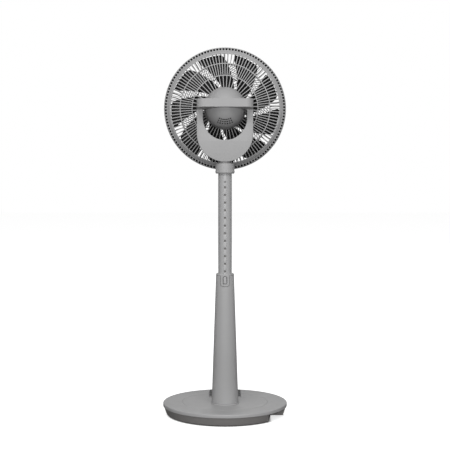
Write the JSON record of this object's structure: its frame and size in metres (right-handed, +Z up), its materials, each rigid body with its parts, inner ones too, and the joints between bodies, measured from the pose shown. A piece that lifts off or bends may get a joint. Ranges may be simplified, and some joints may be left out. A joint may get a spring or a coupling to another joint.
{
  "type": "pedestal fan",
  "caption": "Pedestal fan with a round base, a height-adjustable pole, a swivelling U yoke and a tilting round head with a guarded impeller.",
  "frame": {"origin": "centre of the base on the floor", "axes": "+Z up along the column; air leaves towards +Y; +X to the right seen from behind"},
  "size_m": [0.34, 0.34, 1.0075],
  "materials": {
    "grey_plastic": "light grey fine satin moulded plastic",
    "rim_plastic": "darker grey satin moulded plastic",
    "black_plastic": "near-black satin plastic",
    "panel_glass": "gloss black touch panel",
    "pole_metal": "grey satin powder-coated tube",
    "steel": "plain steel",
    "cast_iron": "rough cast ballast",
    "aluminium": "die-cast aluminium",
    "copper": null,
    "rubber": "soft matt rubber",
    "circuit_board": "green circuit board",
    "white_nylon": "natural nylon",
    "lead_jacket": "sheathed lead"
  },
  "bodies": {
    "base": {"base_top_cover": "grey_plastic", "base_skirt": "rim_plastic", "base_bottom_plate": "black_plastic", "base_weight": "cast_iron", "base_foot_1": "rubber", "base_foot_2": "rubber", "base_foot_3": "rubber", "base_foot_4": "rubber", "base_foot_5": "rubber", "base_screw_1": "steel", "base_screw_2": "steel", "base_screw_3": "steel", "dc_inlet": "black_plastic", "console_bezel": "grey_plastic", "touch_panel": "panel_glass", "control_board": "circuit_board", "column_foot_ring": "grey_plastic", "column_shell": "grey_plastic", "column_collar": "grey_plastic", "guide_tube": "steel", "pole_bush": "white_nylon", "button_frame": "grey_plastic", "button_pivot_pin": "black_plastic", "button_spring": "steel"},
    "button": {"height_button": "grey_plastic", "latch_pin": "steel"},
    "pole": {"pole": "pole_metal", "latch_strip": "pole_metal", "pole_glide": "white_nylon", "inner_lead": "lead_jacket", "neck_collar": "grey_plastic", "pan_gear": "white_nylon", "thrust_washer": "white_nylon"},
    "yoke": {"yoke_rear_shell": "grey_plastic", "yoke_front_cover": "grey_plastic", "yoke_handle": "grey_plastic", "swivel_plate": "steel", "pan_motor": "steel", "tilt_pin_left": "steel", "tilt_pin_right": "steel"},
    "pinion": {"pan_pinion": "white_nylon"},
    "head": {"tilt_bush_left": "white_nylon", "tilt_bush_right": "white_nylon", "motor_housing_rear": "grey_plastic", "motor_housing_front": "grey_plastic", "motor_mount": "aluminium", "rear_bearing": "steel", "front_bearing": "steel", "stator_core": "steel", "stator_windings": "copper", "head_board": "circuit_board", "rear_grille": "grey_plastic", "front_grille": "rim_plastic", "grille_nut": "black_plastic", "front_cap": "rim_plastic"},
    "impeller": {"rotor_cup": "steel", "motor_shaft": "steel", "impeller": "black_plastic", "spinner_nut": "black_plastic"}
  },
  "joints": [
    {"name": "button_press", "type": "hinge", "parent": "base", "child": "button", "pos_m": [0, -0.045, 0.3637], "axis": [-1, 0, 0], "range_deg": [0, 7], "stiffness_Nm_per_rad": 0.6},
    {"name": "pole_slide", "type": "slide", "parent": "base", "child": "pole", "axis": [0, 0, 1], "range_m": [-0.2477, 0]},
    {"name": "yoke_swivel", "type": "hinge", "parent": "pole", "child": "yoke", "pos_m": [0, -0.022, 0.7027], "axis": [0, 0, 1], "range_deg": [-45, 45]},
    {"name": "pinion_turn", "type": "hinge", "parent": "yoke", "child": "pinion", "pos_m": [0.028, -0.022, 0.7107], "axis": [0, 0, 1], "range_deg": [-135, 135]},
    {"name": "head_tilt", "type": "hinge", "parent": "yoke", "child": "head", "pos_m": [0, -0.022, 0.8387], "axis": [1, 0, 0], "range_deg": [-10, 80]},
    {"name": "impeller_spin", "type": "hinge", "parent": "head", "child": "impeller", "pos_m": [0, -0.022, 0.8387], "axis": [0, -1, 0], "continuous": true}
  ],
  "couplings": [
    {"joint": "pinion_turn", "follows": "yoke_swivel", "ratio": 3}
  ]
}
